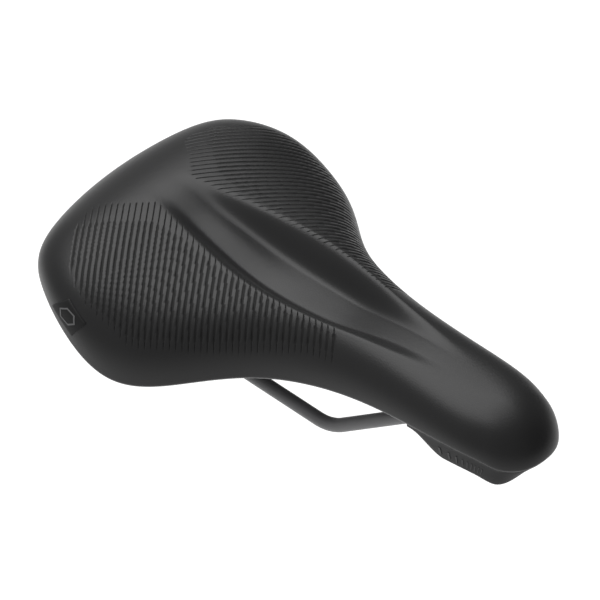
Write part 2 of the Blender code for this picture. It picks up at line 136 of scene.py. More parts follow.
# Where the lines start, widen, and end along their length, against the line's number.
GROOVE_INNER = np.array([(0, -23), (1, -31.5), (2.3, -35.7), (8, -35.4), (12.5, -37),
                         (14, -31.4), (17, -22.7), (20, -11.7), (24.5, 1.5), (28, 10),
                         (36, 28), (43, 39)])
GROOVE_WIDE = np.array([(0, -20.5), (2, -22.3), (8, -22.8), (12, -23.3), (17, -14.6),
                        (20.5, -4.6), (24, 5), (28.5, 15), (36, 31.5), (43, 42.5)])
GROOVE_OUTER = np.array([(0, 5.5), (1, 12.6), (2, 17.7), (3, 21.4), (4, 24), (7, 30.6),
                         (10, 36.6), (12, 38.6), (19, 39.8), (27, 40.2), (32, 41.6),
                         (38.5, 46), (43, 52)])
GROOVE_TAIL = 2.5
# Lengths over which a line's broad part and its thin part fade in and out, and how deep the
# thin part is next to the broad one.
GROOVE_BROAD_FADE, GROOVE_THIN_FADE = 1.5, 1.0
GROOVE_THIN_SHARE = 0.8

# Steps of the rolled edge's quarter turn, and which of them carry its pale line, a painted
# highlight standing in for the light caught along the roll.
ROLL_STEPS = 18
PAINTED_HIGHLIGHT_START, PAINTED_HIGHLIGHT_END = 4, 6

RAIL_DIAMETER = 7.0
RAIL_SPACING = 44.0
RAIL_BEND_RADIUS = 24.0
RAIL_CORNERS = [
    (-97.0, 31.0, 30.0),
    (-44.0, RAIL_SPACING / 2, 0.0),
    (43.0, RAIL_SPACING / 2, 0.0),
    (102.0, 8.8, 42.0),
    (119.0, 6.6, 43.0),
]
RAIL_SIDES = 32
RAIL_BEND_STEPS = 14
BORE_CLEARANCE = 0.35
REAR_BOSS = ((-104.0, -76.0), (22.0, 40.0), 22.0, 9.5)
NOSE_BOSS = ((97.0, 123.0), (-14.0, 14.0), 31.0, 37.0)
BOSS_DRAFT = 0.6

GUARD_START = 94.0
GUARD_START_DEPTH, GUARD_DEPTH, GUARD_TIP_DEPTH = 0.6, 9.3, 4.2
GUARD_GROWTH = 22.0
GUARD_TIP_START, GUARD_TIP_LENGTH = 144.0, 12.0
GUARD_TIP_SETBACK, GUARD_TIP_LEAN = 1.0, 3.0
GUARD_LIP_ANGLE = math.radians(35)
GUARD_LIP_GAP = 0.08
GUARD_WALL = 2.4
GUARD_FLANGE = 8.0
GUARD_INSET = 0.8

# Plain bars on the guard: number a side, where the first and last stand along the rim, half
# width and slant along the rim, the shares of the guard's depth they span, and how far they
# stand out of the face and reach into it.
GUARD_MARKS = 9
GUARD_MARK_FIRST, GUARD_MARK_LAST = 8.02, 9.32
GUARD_MARK_HALF, GUARD_MARK_LEAN = 0.018, 0.05
GUARD_MARK_TOP, GUARD_MARK_FOOT = 0.30, 0.72
GUARD_MARK_PROUD, GUARD_MARK_SUNK = 0.22, -0.3

# Corners of the badge as t and s on the cover.
BADGE_CORNERS = [(2.62, 0.965), (3.0, 0.74), (3.52, 0.78), (3.24, 0.965)]
BADGE_THICKNESS = 0.6

GEL_THICKNESS = 4.0
# The gel inlay's seat in the foam, and the inlay itself, as ranges of t and s.
SEAT_T, SEAT_S = (3.33, 6.0), (0.33, 0.72)
GEL_T, GEL_S = (3.43, 5.9), (0.36, 0.69)

# Ribs under the shell: long ones as (y, first x, last x), cross ones as (x, half length).
RIB_HEIGHT = 3.6
RIB_WIDTH = 1.8
LONG_RIBS = [(0.0, -108.0, 92.0), (11.0, -112.0, 88.0), (-11.0, -112.0, 88.0),
             (46.0, -98.0, -36.0), (-46.0, -98.0, -36.0)]
CROSS_RIBS = [(-66.0, 56.0), (-44.0, 52.0), (-20.0, 40.0), (6.0, 24.0), (32.0, 16.0),
              (58.0, 13.0), (82.0, 12.0)]

# Stage, in metres, watts and levels of brightness.
FLOOR_SIZE = 6.0
FLOOR_HEIGHT = -0.9
FLOOR_GLOW = 0.40
WORLD_LEVEL = 0.17
SOFTBOX_PLACE = (-0.92, 0.38, 1.5)
SOFTBOX_SIZE = (1.5, 2.2)
SOFTBOX_TURN = math.radians(20)
SOFTBOX_WATTS = 40.5
# Pale walls of the room: direction, brightness, and the angles where each is full and gone.
ROOM_LIGHTS = [((-1.0, -0.3, 0.1), 0.22, 20.0, 100.0), ((0.2, -0.95, 0.3), 0.28, 20.0, 75.0)]

# Spacing of the fine meshes.
ROW_STEP = 1.3
COLUMN_STEP = 1.3
COLUMN_GUIDE_T = 4.0

# Camera: a long lens from the right front, above.
CAMERA_AZIMUTH, CAMERA_ELEVATION = 42.0, 45.0
CAMERA_DISTANCE = 2.0
CAMERA_TARGET = (0.018, 0.0, 0.056)
CAMERA_PAN = (-0.01076, -0.00267)
CAMERA_LENS, CAMERA_SENSOR = 253.6, 36.0


# ---- curves and surfaces -----------------------------------------------------------------
def spline_weights(t):
    return ((1 - t) ** 3 / 6, (3 * t**3 - 6 * t**2 + 4) / 6,
            (-3 * t**3 + 3 * t**2 + 3 * t + 1) / 6, t**3 / 6)


def rim_values(t):
    """RIM columns at the parameters t, from 0 at the rear to SPANS at the nose."""
    t = np.asarray(t, float)
    side = np.where((t < 0) | (t > SPANS), -1.0, 1.0)
    t = np.abs(t)
    t = np.where(t > SPANS, 2 * SPANS - t, t)
    span = np.minimum(t.astype(int), SPANS - 1)
    total = np.zeros(t.shape + (RIM.shape[1],))
    for offset, weight in enumerate(spline_weights(t - span)):
        index = span - 1 + offset
        mirror = np.where((index < 0) | (index > SPANS), -1.0, 1.0)
        index = np.abs(index)
        index = np.where(index > SPANS, 2 * SPANS - index, index)
        row = RIM[index]
        row[..., 1] *= mirror
        total += weight[..., None] * row
    total[..., 1] *= side
    return total


def spline_at(table, place):
    """Cubic spline through the rows of a table, at places counted in rows."""
    place = np.clip(place, 1.0, len(table) - 2.0)
    span = np.minimum(place.astype(int), len(table) - 3)
    weights = spline_weights(place - span)
    shape = span.shape + (1,) * (table.ndim - 1)
    return sum(w.reshape(shape) * table[span - 1 + k] for k, w in enumerate(weights))


def crown(x):
    return spline_at(CROWN, (np.asarray(x, float) - CROWN_START) / CROWN_STEP)


def smooth_step(value):
    value = np.clip(value, 0.0, 1.0)
    return value * value * (3 - 2 * value)


def channel_depth(x, y):
    rows = spline_at(CHANNEL, (x - CHANNEL_START) / CHANNEL_STEP)
    half_width, depth, tongue, share = np.moveaxis(rows, -1, 0)
    wall = smooth_step((1 - np.abs(y) / half_width) / (1 - CHANNEL_FLOOR))
    lift = share * np.exp(-(np.abs(y) / tongue) ** TONGUE_POWER)
    return depth * wall * (1 - lift)


def cover_points(t, s):
    """Outer face of the cover; s runs from 0 on the crown line to 1 at the rim."""
    t, s = np.broadcast_arrays(np.asarray(t, float), np.asarray(s, float))
    rim = rim_values(t)
    side = np.where(s < 0, -1.0, 1.0)
    angle = np.minimum(np.abs(s), 1.0) * math.pi / 2
    reach = np.sin(angle) ** (2 / rim[..., 3])
    lift = np.maximum(np.cos(angle), 0.0) ** (2 / rim[..., 4])
    x = rim[..., 5] + (rim[..., 0] - rim[..., 5]) * reach
    y = rim[..., 1] * reach
    z = rim[..., 2] + (crown(x) - rim[..., 2]) * lift - channel_depth(x, y)
    return np.stack([x, y * side, z], axis=-1)


def unit(vectors):
    return vectors / np.maximum(np.linalg.norm(vectors, axis=-1, keepdims=True), 1e-9)


def cover_normals(t, s):
    step_t, step_s = 0.02, 0.01
    t = np.clip(t, step_t, SPANS - step_t)
    along = cover_points(t + step_t, s) - cover_points(t - step_t, s)
    across = cover_points(t, np.minimum(s + step_s, 1.0)) - cover_points(t, s - step_s)
    return unit(np.cross(along, across))


def layer_points(t, s, depth):
    """Points at a depth under the outer face; a negative depth stands proud of it."""
    t, s, depth = np.broadcast_arrays(np.asarray(t, float), np.asarray(s, float), depth)
    return cover_points(t, s) - cover_normals(t, s) * depth[..., None]


def rim_frames(t):
    """Rim points with unit vectors inward, and down across the rim."""
    point = rim_values(t)[..., :3]
    along = rim_values(t + 0.02)[..., :3] - rim_values(t - 0.02)[..., :3]
    inward = np.stack([along[..., 1], -along[..., 0], 0 * along[..., 0]], axis=-1)
    inward = unit(inward)
    return point, inward, unit(np.cross(unit(along), inward))


def rim_place(frames, inset, drop):
    point, inward, down = frames
    return point + inward * inset + down * drop


def shell_spine(x):
    taper = smooth_step((x - PAD_TAPER_START) / (PAD_TAPER_END - PAD_TAPER_START))
    return crown(x) - PAD_REAR + (PAD_REAR - PAD_NOSE) * taper


def dome_points(t, u, lift):
    """Shell dome from the flange (u = 0) to the crown line (u = 1), raised by lift."""
    start = rim_place(rim_frames(t), FLANGE_WIDTH, 0)
    foot = rim_values(t)[..., 5]
    x = start[..., 0] + (foot - start[..., 0]) * u
    y = start[..., 1] * (1 - u)
    z = start[..., 2] + (shell_spine(foot) - start[..., 2]) * (1 - (1 - u) ** 2) + lift
    return np.stack([x, y, z], axis=-1)


def even_parameters(curve, step):
    """Parameters that divide curve(values) into even lengths of about step."""
    values = np.linspace(0.0, 1.0, 2001)
    points = curve(values)
    lengths = np.linalg.norm(np.diff(points, axis=0), axis=-1)
    travelled = np.concatenate([[0.0], np.cumsum(lengths)])
    count = max(int(round(travelled[-1] / step)), 1)
    return np.interp(np.linspace(0.0, travelled[-1], count + 1), travelled, values)


def rim_rows(step, first=0.0, last=float(SPANS)):
    """Rim parameters from first to last, evenly spaced along the rim."""
    def curve(values):
        return rim_values(first + (last - first) * values)[..., :3]
    return first + (last - first) * even_parameters(curve, step)


# ---- mesh helpers ------------------------------------------------------------------------
def grid_faces(verts, bm, closed_section=False):
    faces = []
    for low, high in zip(verts, verts[1:]):
        count = len(low)
        for index in range(count if closed_section else count - 1):
            after = (index + 1) % count
            faces.append(bm.faces.new((low[index], low[after], high[after], high[index])))
    return faces


def loft(rows, closed_section=False, capped=False):
    """bmesh through rows of points, in millimetres."""
    bm = bmesh.new()
    verts = [[bm.verts.new(point) for point in row] for row in rows]
    grid_faces(verts, bm, closed_section)
    if capped:
        bm.faces.new(verts[0])
        bm.faces.new(verts[-1])
        bmesh.ops.recalc_face_normals(bm, faces=bm.faces)
    return bm


def finish_mesh(name, bm, finish, sharp=50.0):
    bmesh.ops.scale(bm, vec=(MM, MM, MM), verts=bm.verts)
    mesh = bpy.data.meshes.new(name)
    bm.to_mesh(mesh)
    bm.free()
    mesh.shade_smooth()
    mesh.set_sharp_from_angle(angle=math.radians(sharp))
    made = bpy.data.objects.new(name, mesh)
    bpy.context.scene.collection.objects.link(made)
    if finish:
        mesh.materials.append(finish)
    return made


def mirror_across_middle(made):
    change = made.modifiers.new("mirror", "MIRROR")
    change.use_axis = (False, True, False)
    change.merge_threshold = 0.00001
    return made


def flatten_to_middle(rows):
    """Puts the first and last rows, and both ends of every row, on y = 0."""
    rows = np.array(rows)
    rows[0, :, 1] = 0.0
    rows[-1, :, 1] = 0.0
    rows[:, 0, 1] = 0.0
    rows[:, -1, 1] = 0.0
    return rows


def sheet_between(top, bottom):
    """Closed bmesh between two grids of the same size."""
    bm = bmesh.new()
    upper = [[bm.verts.new(p) for p in row] for row in top]
    lower = [[bm.verts.new(p) for p in row] for row in bottom]
    grid_faces(upper, bm)
    grid_faces(lower, bm)
    rows, columns = len(top), len(top[0])
    edge = [(0, j) for j in range(columns)]
    edge += [(i, columns - 1) for i in range(1, rows)]
    edge += [(rows - 1, j) for j in range(columns - 2, -1, -1)]
    edge += [(i, 0) for i in range(rows - 2, 0, -1)]
    for here, after in zip(edge, edge[1:] + edge[:1]):
        bm.faces.new((upper[here[0]][here[1]], upper[after[0]][after[1]],
                      lower[after[0]][after[1]], lower[here[0]][here[1]]))
    bmesh.ops.recalc_face_normals(bm, faces=bm.faces)
    return bm


# ---- materials ---------------------------------------------------------------------------
def new_material(name, colour, roughness, metallic=0.0):
    """A node material and its shader, ready for detail to be linked in."""
    made = bpy.data.materials.new(name)
    made.use_nodes = True
    shader = made.node_tree.nodes["Principled BSDF"]
    shader.inputs["Base Color"].default_value = (*colour, 1.0)
    shader.inputs["Roughness"].default_value = roughness
    shader.inputs["Metallic"].default_value = metallic
    return made, shader


def add_node(tree, kind, **settings):
    node = tree.nodes.new(kind)
    for key, value in settings.items():
        if hasattr(node, key):
            setattr(node, key, value)
        else:
            node.inputs[key.replace("_", " ")].default_value = value
    return node


def noise(tree, scale, detail=2.0, rough=0.5):
    """Noise in object space; scale is in cells a metre."""
    place = add_node(tree, "ShaderNodeTexCoord")
    made = add_node(tree, "ShaderNodeTexNoise", Scale=scale, Detail=detail, Roughness=rough)
    tree.links.new(place.outputs["Object"], made.inputs["Vector"])
    return made.outputs["Fac"]


def ranged(tree, value, low, high):
    """Maps a 0 to 1 value to low to high."""
    made = add_node(tree, "ShaderNodeMapRange")
    made.inputs["To Min"].default_value = low
    made.inputs["To Max"].default_value = high
    tree.links.new(value, made.inputs["Value"])
    return made.outputs["Result"]


def mixed(tree, factor, low, high):
    """Colour between low and high, each a colour or a socket."""
    made = add_node(tree, "ShaderNodeMix", data_type="RGBA")
    tree.links.new(factor, made.inputs["Factor"])
    for name, value in (("A", low), ("B", high)):
        socket = next(i for i in made.inputs if i.name == name and i.type == "RGBA")
        if isinstance(value, tuple):
            socket.default_value = (*value, 1.0)
        else:
            tree.links.new(value, socket)
    return next(o for o in made.outputs if o.type == "RGBA")


def bump(tree, shader, heights, distance, strength=1.0):
    """Chains bumps of (height socket, share of distance) into the shader's normal."""
    normal = None
    for height, share in heights:
        made = add_node(tree, "ShaderNodeBump", Strength=strength, Distance=distance * share)
        tree.links.new(height, made.inputs["Height"])
        if normal:
            tree.links.new(normal, made.inputs["Normal"])
        normal = made.outputs["Normal"]
    tree.links.new(normal, shader.inputs["Normal"])


def cover_material():
    """Matte black microfibre: fine pebbled grain, faint mottling, darker pressed grooves, and
    a pale painted highlight along the rolled edge.
    """
    made, shader = new_material("cover_microfibre", (0.03, 0.03, 0.031), 0.55)
    tree = made.node_tree
    mottle = noise(tree, 90.0, detail=3.0)
    grain = noise(tree, 2600.0, detail=2.0, rough=0.6)
    pebble = add_node(tree, "ShaderNodeTexVoronoi", Scale=1500.0, feature="F1")
    place = add_node(tree, "ShaderNodeTexCoord")
    tree.links.new(place.outputs["Object"], pebble.inputs["Vector"])
    pressed = add_node(tree, "ShaderNodeAttribute", attribute_name="pressed")
    base = mixed(tree, mottle, (0.0085, 0.0085, 0.0088), (0.011, 0.011, 0.0114))
    speckled = mixed(tree, ranged(tree, grain, 0.0, 0.5), base, (0.016, 0.016, 0.0164))
    dark = add_node(tree, "ShaderNodeMapRange")
    dark.inputs["From Min"].default_value = 0.25
    dark.inputs["From Max"].default_value = 0.55
    tree.links.new(pressed.outputs["Fac"], dark.inputs["Value"])
    skin = mixed(tree, dark.outputs["Result"], speckled, (0.003, 0.003, 0.003))
    # Painted highlight: the rings that carry the edge attribute turn pale, standing in for the
    # light caught along the rolled edge.
    edge = add_node(tree, "ShaderNodeAttribute", attribute_name="edge")
    colour = mixed(tree, edge.outputs["Fac"], skin, (0.12, 0.12, 0.12))
    tree.links.new(colour, shader.inputs["Base Color"])
    grainy = ranged(tree, grain, 0.33, 0.45)
    rough = add_node(tree, "ShaderNodeMix", data_type="FLOAT")
    tree.links.new(dark.outputs["Result"], rough.inputs["Factor"])
    tree.links.new(grainy, rough.inputs["A"])
    rough.inputs["B"].default_value = 0.68
    tree.links.new(rough.outputs["Result"], shader.inputs["Roughness"])
    shader.inputs["Specular IOR Level"].default_value = 0.32
    shader.inputs["Sheen Weight"].default_value = 0.02
    shader.inputs["Sheen Roughness"].default_value = 0.45
    bump(tree, shader, [(pebble.outputs["Distance"], 1.0), (grain, 0.6)], 0.00005, 0.5)
    return made


def plastic_material(name, colour, roughness, grain_scale, grain_depth):
    """Moulded plastic with a spark-eroded texture and slight flow marks."""
    made, shader = new_material(name, colour, roughness)
    shader.inputs["Specular IOR Level"].default_value = 0.32
    tree = made.node_tree
    flow = noise(tree, 35.0, detail=2.0)
    grain = noise(tree, grain_scale, detail=2.0, rough=0.6)
    lighter = tuple(min(c * 1.35, 1.0) for c in colour)
    tree.links.new(mixed(tree, flow, colour, lighter), shader.inputs["Base Color"])
    rough = ranged(tree, grain, roughness - 0.07, roughness + 0.09)
    tree.links.new(rough, shader.inputs["Roughness"])
    bump(tree, shader, [(grain, 1.0)], grain_depth, 0.6)
    return made


def foam_material():
    made, shader = new_material("padding_foam", (0.10, 0.10, 0.11), 0.95)
    tree = made.node_tree
    cells = add_node(tree, "ShaderNodeTexVoronoi", Scale=1100.0)
    place = add_node(tree, "ShaderNodeTexCoord")
    tree.links.new(place.outputs["Object"], cells.inputs["Vector"])
    shade = mixed(tree, cells.outputs["Distance"], (0.05, 0.05, 0.055), (0.13, 0.13, 0.14))
    tree.links.new(shade, shader.inputs["Base Color"])
    bump(tree, shader, [(cells.outputs["Distance"], 1.0)], 0.0004, 0.8)
    return made


def gel_material():
    made, shader = new_material("gel_inlay", (0.05, 0.10, 0.13), 0.3)
    tree = made.node_tree
    clouds = noise(tree, 60.0, detail=3.0)
    shade = mixed(tree, clouds, (0.035, 0.08, 0.11), (0.07, 0.13, 0.16))
    tree.links.new(shade, shader.inputs["Base Color"])
    rough = ranged(tree, clouds, 0.22, 0.4)
    tree.links.new(rough, shader.inputs["Roughness"])
    bump(tree, shader, [(clouds, 1.0)], 0.0002, 0.4)
    return made


def rail_material():
    """Steel tube under a satin dark coating, slightly uneven, with fine drawing lines."""
    made, shader = new_material("rail_steel_coated", (0.15, 0.15, 0.153), 0.45)
    tree = made.node_tree
    place = add_node(tree, "ShaderNodeTexCoord")
    stretch = add_node(tree, "ShaderNodeMapping")
    stretch.inputs["Scale"].default_value = (60.0, 2200.0, 2200.0)
    lines = add_node(tree, "ShaderNodeTexNoise", Scale=1.0, Detail=2.0)
    tree.links.new(place.outputs["Object"], stretch.inputs["Vector"])
    tree.links.new(stretch.outputs["Vector"], lines.inputs["Vector"])
    cloud = noise(tree, 120.0, detail=2.0)
    shade = mixed(tree, cloud, (0.13, 0.13, 0.133), (0.165, 0.165, 0.168))
    tree.links.new(shade, shader.inputs["Base Color"])
    rough = ranged(tree, lines.outputs["Fac"], 0.38, 0.54)
    tree.links.new(rough, shader.inputs["Roughness"])
    bump(tree, shader, [(lines.outputs["Fac"], 1.0)], 0.00003, 0.5)
    return made


def wire_material():
    made, shader = new_material("staple_steel", (0.45, 0.45, 0.46), 0.32, 1.0)
    tree = made.node_tree
    scratches = noise(tree, 900.0, detail=3.0)
    shade = mixed(tree, scratches, (0.38, 0.38, 0.39), (0.52, 0.52, 0.53))
    tree.links.new(shade, shader.inputs["Base Color"])
    tree.links.new(ranged(tree, scratches, 0.25, 0.45), shader.inputs["Roughness"])
    bump(tree, shader, [(scratches, 1.0)], 0.00002, 0.4)
    return made


# ---- cover -------------------------------------------------------------------------------
def groove_axes(x, y):
    """(along, across) the groove lines for points of the left half."""
    sine, cosine = math.sin(GROOVE_ANGLE), math.cos(GROOVE_ANGLE)
    return x * sine + y * cosine, x * cosine - y * sine


def pressed_share(x, y):
    """How far the skin is pressed in at plan points of the left half, from 0 to 1."""
    along, across = groove_axes(x, y)
    number = (across - GROOVE_FIRST) / GROOVE_PITCH
    line = np.clip(np.round(number), 0, GROOVE_COUNT - 1)
    offset = np.abs(number - line) * GROOVE_PITCH
    inner = np.interp(line, *GROOVE_INNER.T)
    wide = np.interp(line, *GROOVE_WIDE.T)
    outer = np.interp(line, *GROOVE_OUTER.T)
    full = smooth_step((along - wide) / GROOVE_BROAD_FADE + 0.5)
    tail = outer - GROOVE_TAIL
    full = full * smooth_step((tail - along) / GROOVE_BROAD_FADE + 0.5)
    lit = smooth_step((along - inner) / GROOVE_THIN_FADE + 0.5)
    lit = lit * smooth_step((outer - along) / GROOVE_THIN_FADE + 0.5)
    slope = (GROOVE_HALF - offset) / (GROOVE_HALF - GROOVE_FLOOR_HALF)
    broad = np.clip(slope, 0.0, 1.0)
    thin = np.clip(1 - offset / GROOVE_FLOOR_HALF, 0.0, 1.0)
    return lit * np.maximum(broad * full, GROOVE_THIN_SHARE * thin)


def cut_groove_edges(bm, faces):
    """Splits the skin's faces along both edges, both floor edges and the middle of lines."""
    normal = Vector((math.cos(GROOVE_ANGLE), -math.sin(GROOVE_ANGLE), 0.0))
    offsets = (-GROOVE_HALF, -GROOVE_FLOOR_HALF, 0.0, GROOVE_FLOOR_HALF, GROOVE_HALF)
    bands = {}
    for face in faces:
        across = normal.dot(face.calc_center_median())
        bands.setdefault(int((across - GROOVE_FIRST) // GROOVE_PITCH), set()).add(face)
    waiting = set()
    for line in range(GROOVE_COUNT):
        middle = GROOVE_FIRST + line * GROOVE_PITCH
        waiting |= bands.pop(line - 2, set()) | bands.pop(line - 1, set())
        waiting |= bands.pop(line, set())
        for offset in offsets:
            geometry = list(waiting)
            geometry += list({edge for face in waiting for edge in face.edges})
            geometry += list({vert for face in waiting for vert in face.verts})
            cut = bmesh.ops.bisect_plane(bm, geom=geometry, dist=0.00001,
                                         plane_co=normal * (middle + offset), plane_no=normal)
            waiting = {item for item in cut["geom"] if isinstance(item, bmesh.types.BMFace)}
        past = middle + GROOVE_PITCH / 2
        waiting = {f for f in waiting if max(normal.dot(v.co) for v in f.verts) > past}


def cover_mesh():
    """Left half of the cover: outer face, rolled edge, hem and inner face."""
    t = rim_rows(ROW_STEP)
    s = even_parameters(lambda v: cover_points(COLUMN_GUIDE_T, v), COLUMN_STEP)
    frames = rim_frames(t)
    inner = ROLL_RADIUS - SKIN
    outer_face = cover_points(t[:, None], s[None, :])
    turned = []
    for angle in np.linspace(0, math.pi / 2, ROLL_STEPS + 1)[1:]:
        inset = ROLL_RADIUS * (1 - math.cos(angle))
        turned.append(rim_place(frames, inset, ROLL_RADIUS * math.sin(angle)))
    for inset in np.linspace(ROLL_RADIUS + 2.0, HEM_WIDTH - 0.3, 4):
        turned.append(rim_place(frames, inset, ROLL_RADIUS))
    turned.append(rim_place(frames, HEM_WIDTH, ROLL_RADIUS - 0.3))
    turned.append(rim_place(frames, HEM_WIDTH, inner))
    for angle in np.radians((90, 60, 30)):
        inset = ROLL_RADIUS - inner * math.cos(angle)
        turned.append(rim_place(frames, inset, inner * math.sin(angle)))
    under = layer_points(t[:, None], s[None, ::-4], SKIN)
    if len(s) % 4 != 1:
        middle = layer_points(t[:, None], np.zeros((1, 1)), SKIN)
        under = np.concatenate([under, middle], axis=1)
    rows = np.concatenate([outer_face, np.stack(turned, axis=1), under], axis=1)
    rows = flatten_to_middle(rows)

    bm = bmesh.new()
    row_layer = bm.verts.layers.float.new("row")
    column_layer = bm.verts.layers.float.new("column")
    pressed_layer = bm.verts.layers.float.new("pressed")
    painted_highlight_layer = bm.verts.layers.float.new("edge")
    verts = [[bm.verts.new(point) for point in row] for row in rows]
    for i, row in enumerate(verts):
        for j in range(len(s)):
            row[j][row_layer] = t[i]
            row[j][column_layer] = s[j]
        for vert in row[len(s):]:
            vert[column_layer] = -1.0
        # Painted highlight: these rings of the roll are marked for the pale colour that stands
        # in for the light they catch.
        for vert in row[len(s) + PAINTED_HIGHLIGHT_START:len(s) + PAINTED_HIGHLIGHT_END]:
            vert[painted_highlight_layer] = 1.0
    faces = grid_faces(verts, bm)
    count = rows.shape[1] - 1
    inside = []
    for number, face in enumerate(faces):
        if number % count >= len(s) - 2:
            continue
        centre = face.calc_center_median()
        along, across = groove_axes(centre.x, centre.y)
        line = (across - GROOVE_FIRST) / GROOVE_PITCH
        if not -1 < line < GROOVE_COUNT:
            continue
        start = np.interp(line, *GROOVE_INNER.T) - 3.0
        end = np.interp(line, *GROOVE_OUTER.T) + 3.0
        if start < along < end:
            inside.append(face)
    cut_groove_edges(bm, inside)

    bm.verts.ensure_lookup_table()
    skin = [v for v in bm.verts if v[column_layer] >= 0.0]
    row_t = np.array([v[row_layer] for v in skin])
    column_s = np.array([v[column_layer] for v in skin])
    points = cover_points(row_t, column_s)
    pressed = pressed_share(points[:, 0], np.abs(points[:, 1]))
    points = points - cover_normals(row_t, column_s) * (pressed * GROOVE_DEPTH)[:, None]
    for vert, point, share in zip(skin, points, pressed):
        on_middle = abs(vert.co.y) < 0.00001
        vert.co = point
        vert[pressed_layer] = share
        if on_middle:
            vert.co.y = 0.0
    bmesh.ops.recalc_face_normals(bm, faces=bm.faces)
    return bm


def make_cover(finish):
    bm = cover_mesh()
    top = max(bm.faces, key=lambda face: face.calc_center_median().z)
    if top.normal.z < 0:
        bmesh.ops.reverse_faces(bm, faces=bm.faces)
    made = mirror_across_middle(finish_mesh("cover_skin", bm, finish, sharp=75.0))
    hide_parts("cover")
    return made


# ---- padding ----------------------------------------------------------------------------
def make_foam(finish):
    """Padding that fills the space between the cover and the shell."""
    t = rim_rows(2.5)
    s = even_parameters(lambda v: cover_points(COLUMN_GUIDE_T, v), 2.0)[:-1]
    under_skin, over_shell = SKIN + GAP, SHELL_HALF + GAP
    in_t = (t >= SEAT_T[0]) & (t <= SEAT_T[1])
    in_s = (s >= SEAT_S[0]) & (s <= SEAT_S[1])
    seat = in_t[:, None] & in_s[None, :]
    depth = under_skin + seat * (GEL_THICKNESS + GAP)
    frames = rim_frames(t)
    top = layer_points(t[:, None], s[None, :], depth)
    edge = layer_points(t, np.ones(1), np.full(1, under_skin))
    part = (over_shell + GAP) / (top[:, -1, 2] - edge[:, 2])
    side = edge + (top[:, -1] - edge) * np.minimum(part, 1.0)[:, None]
    columns = [side, rim_place(frames, ROLL_RADIUS, -over_shell),
               rim_place(frames, FLANGE_WIDTH, -over_shell)]
    columns += [dome_points(t, u, over_shell) for u in np.linspace(0, 1, 13)[1:]]
    rows = flatten_to_middle(np.concatenate([top, np.stack(columns, axis=1)], axis=1))
    bm = loft(rows)
    bmesh.ops.recalc_face_normals(bm, faces=bm.faces)
    made = mirror_across_middle(finish_mesh("foam_core", bm, finish, sharp=60.0))
    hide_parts("foam_pad")
    return made


def make_gel(name, side, node, finish):
    """Sit bone inlay that lies in the foam's seat, right under the cover."""
    t = np.linspace(*GEL_T, 40)[:, None]
    s = np.linspace(*GEL_S, 20)[None, :]
    top = layer_points(t, s, np.full(1, SKIN + GAP))
    bottom = layer_points(t, s, np.full(1, SKIN + GAP + GEL_THICKNESS))
    for grid in (top, bottom):
        grid[..., 1] *= side
    made = finish_mesh(name, sheet_between(top, bottom), finish)
    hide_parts(node)
    return made


# ---- shell, rails, guard, badge ----------------------------------------------------------
def make_box(name, corners):
    bm = bmesh.new()
    verts = [bm.verts.new(corner) for corner in corners]
    for ring in ((0, 1, 2, 3), (4, 5, 6, 7)):
        bm.faces.new([verts[i] for i in ring])
    for i in range(4):
        after = (i + 1) % 4
        bm.faces.new((verts[i], verts[after], verts[after + 4], verts[i + 4]))
    bmesh.ops.recalc_face_normals(bm, faces=bm.faces)
    upright = [e for e in bm.edges if abs(e.verts[0].co.z - e.verts[1].co.z) > 8]
    bmesh.ops.bevel(bm, geom=upright, offset=3.0, segments=5, affect="EDGES", profile=0.5)
    low = min(v.co.z for v in bm.verts)
    floor = [f for f in bm.faces if f.normal.z < -0.5 or f.calc_center_median().z < low]
    bottom = list({e for f in floor for e in f.edges})
    bmesh.ops.bevel(bm, geom=bottom, offset=1.2, segments=4, affect="EDGES", profile=0.5)
    return finish_mesh(name, bm, None)


def shell_tree():
    """Search tree of the middle of the shell's thickness, left half."""
    t = rim_rows(4.0)
    columns = [rim_place(rim_frames(t), ROLL_RADIUS, 0)]
    columns += [dome_points(t, u, 0) for u in np.linspace(0, 1, 12)]
    points = np.stack(columns, axis=1)
    width = points.shape[1]
    faces = []
    for i in range(len(t) - 1):
        for j in range(width - 1):
            first = i * width + j
            faces.append((first, first + 1, first + width + 1, first + width))
    return BVHTree.FromPolygons([Vector(p) for p in points.reshape(-1, 3)], faces)


def shell_height(tree, x, y):
    return tree.ray_cast(Vector((x, abs(y), 200)), Vector((0, 0, -1)))[0].z


def boss_box(name, tree, boss, side=1):
    (x0, x1), (y0, y1), floor_rear, floor_front = boss
    y0, y1 = min(y0 * side, y1 * side), max(y0 * side, y1 * side)
    low, high = [], []
    for x, y in ((x0, y0), (x1, y0), (x1, y1), (x0, y1)):
        floor = floor_rear if x == x0 else floor_front
        shift_x = BOSS_DRAFT if x == x0 else -BOSS_DRAFT
        shift_y = BOSS_DRAFT if y == y0 else -BOSS_DRAFT
        low.append(Vector((x + shift_x, y + shift_y, floor)))
        high.append(Vector((x, y, shell_height(tree, x, y))))
    return make_box(name, low + high)


def bent_path(corners, radius, steps):
    """Straight runs between the corners, joined by arcs of the bend radius."""
    corners = [Vector(corner) for corner in corners]
    path = [corners[0]]
    for before, corner, after in zip(corners, corners[1:], corners[2:]):
        back = (before - corner).normalized()
        ahead = (after - corner).normalized()
        half = back.angle(ahead) / 2
        middle = corner + (back + ahead).normalized() * radius / math.sin(half)
        start = corner + back * radius / math.tan(half)
        end = corner + ahead * radius / math.tan(half)
        for step in range(steps + 1):
            spoke = (start - middle).slerp(end - middle, step / steps)
            path.append(middle + spoke.normalized() * radius)
    path.append(corners[-1])
    return path


